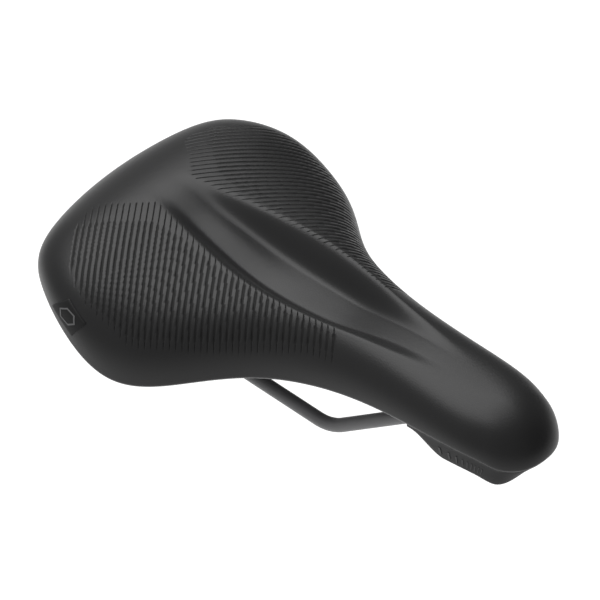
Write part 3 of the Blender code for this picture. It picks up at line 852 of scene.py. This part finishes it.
def tube_rows(path, radius):
    rows = []
    for index, point in enumerate(path):
        before = path[max(index - 1, 0)]
        after = path[min(index + 1, len(path) - 1)]
        along = (after - before).normalized()
        side = Vector((0, 0, 1)).cross(along).normalized()
        up = along.cross(side)
        turns = [k * 2 * math.pi / RAIL_SIDES for k in range(RAIL_SIDES)]
        rows.append([point + (side * math.cos(a) + up * math.sin(a)) * radius for a in turns])
    return rows


def rail_path(side):
    path = bent_path(RAIL_CORNERS, RAIL_BEND_RADIUS, RAIL_BEND_STEPS)
    return [Vector((p.x, p.y * side, p.z)) for p in path]


def make_rail(name, side, node, finish):
    """Round tube with slightly rounded ends inside the shell's bores."""
    path = rail_path(side)
    chamfer = 0.6
    ends = [path[0] + (path[1] - path[0]).normalized() * chamfer,
            path[-1] + (path[-2] - path[-1]).normalized() * chamfer]
    inner = [ends[0]] + path[1:-1] + [ends[1]]
    rows = tube_rows(inner, RAIL_DIAMETER / 2)
    first = tube_rows([path[0], path[1]], RAIL_DIAMETER / 2 - chamfer)[0]
    last = tube_rows([path[-2], path[-1]], RAIL_DIAMETER / 2 - chamfer)[1]
    bm = loft([first] + rows + [last], closed_section=True, capped=True)
    made = finish_mesh(name, bm, finish)
    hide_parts(node)
    return made


def apply_booleans(made, others):
    """Applies (object, operation) booleans in turn and removes the helpers."""
    for other, operation in others:
        change = made.modifiers.new(operation.lower(), "BOOLEAN")
        change.operation = operation
        change.solver = "EXACT"
        change.object = other
    graph = bpy.context.evaluated_depsgraph_get()
    solid = bpy.data.meshes.new_from_object(made.evaluated_get(graph))
    made.modifiers.clear()
    made.data = solid
    solid.name = made.name
    for other, _ in others:
        bpy.data.objects.remove(other, do_unlink=True)


def shell_rows():
    t = rim_rows(3.0)
    frames = rim_frames(t)
    half, edge = SHELL_HALF, ROLL_RADIUS
    dome = np.linspace(0, 1, 13)
    rows = [dome_points(t, u, half) for u in dome[::-1]]
    rows += [rim_place(frames, i, -half) for i in (11.0, 7.0, edge)]
    rows += [rim_place(frames, edge - 1.0, -half * 0.6), rim_place(frames, edge - 1.3, 0)]
    rows += [rim_place(frames, edge - 1.0, half * 0.6)]
    rows += [rim_place(frames, i, half) for i in (edge, 7.0, 11.0)]
    rows += [dome_points(t, u, -half) for u in dome]
    return flatten_to_middle(np.stack(rows, axis=1))


def rib_rows(tree, points, across):
    """Rib under the shell along points (x, y); its top is inside the shell."""
    rows = []
    for x, y in points:
        top = shell_height(tree, x, y)
        low = top - SHELL_HALF - RIB_HEIGHT
        centre = Vector((x, y, 0))
        half = Vector(across) * RIB_WIDTH / 2
        ring = []
        for side, z in ((1, top), (-1, top), (-1, low + 0.4), (-0.6, low),
                        (0.6, low), (1, low + 0.4)):
            ring.append(centre + half * side + Vector((0, 0, z)))
        rows.append(ring)
    return rows


def make_ribs(tree, finish):
    """Stiffening ribs moulded under the shell's dome."""
    bm = bmesh.new()
    for y, x0, x1 in LONG_RIBS:
        points = [(x, y) for x in np.arange(x0, x1 + 0.1, 4.0)]
        rows = rib_rows(tree, points, (0, 1, 0))
        add_capped(bm, rows)
    for x, reach in CROSS_RIBS:
        points = [(x, y) for y in np.arange(-reach, reach + 0.1, 4.0)]
        rows = rib_rows(tree, points, (1, 0, 0))
        add_capped(bm, rows)
    bmesh.ops.recalc_face_normals(bm, faces=bm.faces)
    made = finish_mesh("shell_ribs", bm, finish, sharp=30.0)
    return made


def add_capped(bm, rows):
    verts = [[bm.verts.new(point) for point in row] for row in rows]
    grid_faces(verts, bm, closed_section=True)
    bm.faces.new(verts[0])
    bm.faces.new(verts[-1])


def make_shell(tree, finish):
    """Base shell with its rail blocks, bored for the rails."""
    bm = loft(shell_rows())
    bmesh.ops.recalc_face_normals(bm, faces=bm.faces)
    top = max(bm.faces, key=lambda face: face.calc_center_median().z)
    if top.normal.z < 0:
        bmesh.ops.reverse_faces(bm, faces=bm.faces)
    made = mirror_across_middle(finish_mesh("shell_moulding", bm, finish, sharp=40.0))
    others = [(boss_box("rear_left", tree, REAR_BOSS), "UNION"),
              (boss_box("rear_right", tree, REAR_BOSS, side=-1), "UNION"),
              (boss_box("nose", tree, NOSE_BOSS), "UNION")]
    for side in (1, -1):
        rows = tube_rows(rail_path(side), RAIL_DIAMETER / 2 + BORE_CLEARANCE)
        bore = finish_mesh("bore", loft(rows, closed_section=True, capped=True), None)
        others.append((bore, "DIFFERENCE"))
    apply_booleans(made, others)
    made.data.set_sharp_from_angle(angle=math.radians(40))
    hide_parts("base_shell")
    return made


def guard_outline(t):
    """Depth of the guard, and how far its face is set back at its top and at its foot."""
    x = rim_values(t)[..., 0]
    grow = smooth_step((x - GUARD_START) / GUARD_GROWTH)
    tip = smooth_step((x - GUARD_TIP_START) / GUARD_TIP_LENGTH)
    depth = GUARD_START_DEPTH + (GUARD_DEPTH - GUARD_START_DEPTH) * grow
    depth = depth - (GUARD_DEPTH - GUARD_TIP_DEPTH) * tip
    face = GUARD_INSET + GUARD_TIP_SETBACK * tip
    return depth, face, face + GUARD_TIP_LEAN * tip


def guard_range():
    fine = np.linspace(7.0, 9.0, 801)
    first = fine[np.argmax(rim_values(fine)[:, 0] > GUARD_START)]
    return first, 2 * SPANS - first


def guard_face(t, drop_share, proud=0.0):
    """Outer face of the guard: drop_share runs from 0 at its top to 1 at its lower edge."""
    depth, face, foot = guard_outline(t)
    inset = face + (foot + 0.2 - face) * drop_share - proud
    drop = ROLL_RADIUS + GAP + depth * drop_share
    return rim_place(rim_frames(t), inset[..., None], drop[..., None])


def make_guard(finish):
    """Angle section swept round the nose: a lip that follows the roll, and a soft foot."""
    t = rim_rows(1.0, *guard_range())
    frames = rim_frames(t)
    depth, face, foot = guard_outline(t)
    top = ROLL_RADIUS + GAP
    low = top + depth
    rise = np.maximum(depth - GUARD_WALL + 0.4, depth * 0.3)
    floor = top + rise
    bend = np.minimum(rise * 0.5, 0.6)

    def place(inset, drop):
        return rim_place(frames, (inset + 0 * low)[..., None], (drop + 0 * low)[..., None])

    def lip(angle):
        reach = ROLL_RADIUS + GUARD_LIP_GAP
        return place(ROLL_RADIUS - reach * math.cos(angle), reach * math.sin(angle))

    lean = foot - face
    round_foot = np.minimum(depth * 0.4, 0.8)
    columns = [lip(angle) for angle in np.linspace(math.pi / 2, GUARD_LIP_ANGLE, 6)]
    columns += [place(face + 0.2 - 0.3 * math.cos(GUARD_LIP_ANGLE), top - 1.0),
                place(face, top), place(face + 0.1 + lean * 0.5, top + depth * 0.5),
                place(foot + 0.2, low - round_foot), place(foot + 0.3, low - round_foot * 0.5),
                place(foot + 0.5, low - round_foot * 0.2), place(foot + 0.9, low),
                place(GUARD_FLANGE - 0.3, low), place(GUARD_FLANGE, low - bend * 0.5),
                place(GUARD_FLANGE, floor), place(foot + GUARD_WALL + bend, floor),
                place(foot + GUARD_WALL, floor - bend), place(foot + GUARD_WALL, top)]
    bm = loft(np.stack(columns, axis=1), closed_section=True, capped=True)
    made = finish_mesh("nose_guard_moulding", bm, finish, sharp=35.0)
    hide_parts("nose_guard")
    return made


def make_guard_marks(finish):
    """Row of plain slanted bars raised on each side of the guard."""
    bm = bmesh.new()
    shares = np.linspace(GUARD_MARK_TOP, GUARD_MARK_FOOT, 5)
    for start in np.linspace(GUARD_MARK_FIRST, GUARD_MARK_LAST, GUARD_MARKS):
        for mirrored in (False, True):
            grids = []
            for proud in (GUARD_MARK_PROUD, GUARD_MARK_SUNK):
                rows = []
                for share in shares:
                    centre = start + GUARD_MARK_LEAN * (share - 0.5)
                    t = centre + np.linspace(-GUARD_MARK_HALF, GUARD_MARK_HALF, 3)
                    t = 2 * SPANS - t if mirrored else t
                    rows.append(guard_face(t, share, proud))
                grids.append(np.array(rows))
            part = sheet_between(*grids)
            merge_into(bm, part)
    made = finish_mesh("guard_bars", bm, finish, sharp=40.0)
    return made


def merge_into(bm, part):
    """Adds another bmesh's geometry to bm and frees it."""
    carried = {v: bm.verts.new(v.co) for v in part.verts}
    for face in part.faces:
        bm.faces.new([carried[v] for v in face.verts])
    part.free()


def badge_places(a, b):
    """Places (t, s) on the badge for a, b from 0 to 1 along its two sides."""
    corners = np.array(BADGE_CORNERS)
    a, b = np.broadcast_arrays(a, b)
    start = corners[0] + (corners[1] - corners[0]) * a[..., None]
    end = corners[3] + (corners[2] - corners[3]) * a[..., None]
    place = start + (end - start) * b[..., None]
    return place[..., 0], place[..., 1]


def badge_layer(a, b, depth):
    t, s = badge_places(a, b)
    points = layer_points(t, s, depth)
    points[..., 1] *= -1
    return points


def make_badge(finish):
    """Thin square tag with a softened edge on the right rear corner."""
    steps = np.linspace(0, 1, 25)
    a, b = np.meshgrid(steps, steps, indexing="ij")
    edge = np.minimum(np.minimum(a, 1 - a), np.minimum(b, 1 - b))
    rise = BADGE_THICKNESS * np.sqrt(np.clip(edge / 0.05, 0.25, 1.0))
    top = badge_layer(a, b, -rise)
    bottom = badge_layer(a, b, -0.05 + 0 * a)
    made = finish_mesh("badge_tag", sheet_between(top, bottom), finish, sharp=70.0)
    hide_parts("corner_badge")
    return made


def make_badge_mark(finish):
    """Plain hexagonal outline raised on the tag."""
    sides, inner, outer = 6, 0.28, 0.34
    top_height, low_height = BADGE_THICKNESS + 0.15, BADGE_THICKNESS - 0.2
    sections = []
    for step in range(sides * 6 + 1):
        turn = step / 6
        corner, part = int(turn) % sides, turn - int(turn)
        here = corner * 2 * math.pi / sides + 0.3
        after = here + 2 * math.pi / sides
        wave = np.array([math.cos(here), math.sin(here)]) * (1 - part)
        wave = wave + np.array([math.cos(after), math.sin(after)]) * part
        sections.append(wave)
    sections = np.array(sections[:-1])
    rows = []
    for radius, height in ((inner, low_height), (inner, top_height),
                           (outer, top_height), (outer, low_height)):
        places = 0.5 + sections * radius
        rows.append(badge_layer(places[:, 0], places[:, 1], -height + 0 * places[:, 0]))
    rings = np.stack(rows, axis=1)
    rings = np.concatenate([rings, rings[:1]])
    bm = loft(rings, closed_section=True)
    bmesh.ops.remove_doubles(bm, verts=bm.verts, dist=0.0001)
    bmesh.ops.recalc_face_normals(bm, faces=bm.faces)
    made = finish_mesh("badge_outline", bm, finish, sharp=40.0)
    return made


# ---- stage -------------------------------------------------------------------------------
def make_floor():
    bm = bmesh.new()
    bmesh.ops.create_grid(bm, x_segments=2, y_segments=2, size=FLOOR_SIZE / MM)
    made = finish_mesh("floor", bm, None)
    made.location.z = FLOOR_HEIGHT
    finish, shader = new_material("floor_paper", (0.9, 0.9, 0.9), 0.8)
    shader.inputs["Emission Color"].default_value = (1.0, 1.0, 1.0, 1.0)
    shader.inputs["Emission Strength"].default_value = FLOOR_GLOW
    made.data.materials.append(finish)
    made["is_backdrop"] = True


def make_world():
    """A dim room with wide soft lights behind and to the right."""
    world = bpy.data.worlds.new("studio")
    world.use_nodes = True
    bpy.context.scene.world = world
    tree = world.node_tree
    back = tree.nodes["Background"]
    back.inputs["Color"].default_value = (1.0, 1.0, 1.0, 1.0)
    place = tree.nodes.new("ShaderNodeTexCoord")
    total = None
    for direction, strength, full, gone in ROOM_LIGHTS:
        aim = tree.nodes.new("ShaderNodeVectorMath")
        aim.operation = "DOT_PRODUCT"
        aim.inputs[1].default_value = Vector(direction).normalized()
        tree.links.new(place.outputs["Generated"], aim.inputs[0])
        spot = tree.nodes.new("ShaderNodeMapRange")
        spot.interpolation_type = "SMOOTHSTEP"
        spot.inputs["From Min"].default_value = math.cos(math.radians(gone))
        spot.inputs["From Max"].default_value = math.cos(math.radians(full))
        spot.inputs["To Max"].default_value = strength
        tree.links.new(aim.outputs["Value"], spot.inputs["Value"])
        added = tree.nodes.new("ShaderNodeMath")
        added.inputs[1].default_value = WORLD_LEVEL
        tree.links.new(spot.outputs["Result"], added.inputs[0])
        if total:
            tree.links.new(total, added.inputs[1])
        total = added.outputs["Value"]
    tree.links.new(total, back.inputs["Strength"])


def make_softbox():
    """Large soft light, high up behind the saddle."""
    data = bpy.data.lights.new("softbox", "AREA")
    data.shape = "RECTANGLE"
    data.size, data.size_y = SOFTBOX_SIZE
    data.energy = SOFTBOX_WATTS
    made = bpy.data.objects.new("softbox", data)
    made.location = SOFTBOX_PLACE
    made.rotation_euler.z = SOFTBOX_TURN
    bpy.context.scene.collection.objects.link(made)


def make_camera():
    azimuth, elevation = math.radians(CAMERA_AZIMUTH), math.radians(CAMERA_ELEVATION)
    right = Vector((math.cos(azimuth), math.sin(azimuth), 0))
    back = Vector((math.sin(azimuth) * math.cos(elevation),
                   -math.cos(azimuth) * math.cos(elevation), math.sin(elevation)))
    up = back.cross(right)
    data = bpy.data.cameras.new("camera")
    data.lens, data.sensor_width = CAMERA_LENS, CAMERA_SENSOR
    made = bpy.data.objects.new("camera", data)
    place = Vector(CAMERA_TARGET) + back * CAMERA_DISTANCE
    place += right * CAMERA_PAN[0] + up * CAMERA_PAN[1]
    turn = Matrix((right, up, back)).transposed().to_4x4()
    made.matrix_world = Matrix.Translation(place) @ turn
    bpy.context.scene.collection.objects.link(made)
    bpy.context.scene.camera = made


def assign(node, finish):
    node.data.materials.clear()
    node.data.materials.append(finish)


def build():
    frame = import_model()
    cad_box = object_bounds()
    nodes = frame["nodes"]

    skin = cover_material()
    nylon = plastic_material("shell_nylon", (0.020, 0.020, 0.021), 0.5, 1800.0, 0.00006)
    satin = plastic_material("guard_plastic", (0.012, 0.012, 0.0125), 0.5, 2600.0, 0.00003)
    # Painted highlight: the bar plastic is coloured lighter than the guard, standing in for
    # the light the raised bars catch.
    raised = plastic_material("guard_bar", (0.05, 0.05, 0.051), 0.45, 2600.0, 0.00002)
    tag = plastic_material("badge_rubber", (0.004, 0.004, 0.0042), 0.6, 2000.0, 0.00004)
    mark = plastic_material("badge_mark", (0.10, 0.10, 0.102), 0.55, 2000.0, 0.00002)
    steel = rail_material()

    tree = shell_tree()
    gel = gel_material()
    pieces = [make_cover(skin), make_foam(foam_material()),
              make_gel("gel_left", 1, "left_gel_inlay", gel),
              make_gel("gel_right", -1, "right_gel_inlay", gel),
              make_shell(tree, nylon), make_ribs(tree, nylon)]
    pieces += [make_rail("rail_tube_left", 1, "left_rail", steel),
               make_rail("rail_tube_right", -1, "right_rail", steel)]
    pieces += [make_guard(satin), make_guard_marks(raised)]
    pieces += [make_badge(tag), make_badge_mark(mark)]
    for piece in pieces:
        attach(piece, "root")

    wire = wire_material()
    for name, node in nodes.items():
        if name.startswith("staple"):
            assign(node, wire)

    make_floor()
    make_world()
    make_softbox()
    make_camera()
    bpy.context.scene.view_settings.view_transform = "Standard"
    return cad_box


CAD_BOX = build()
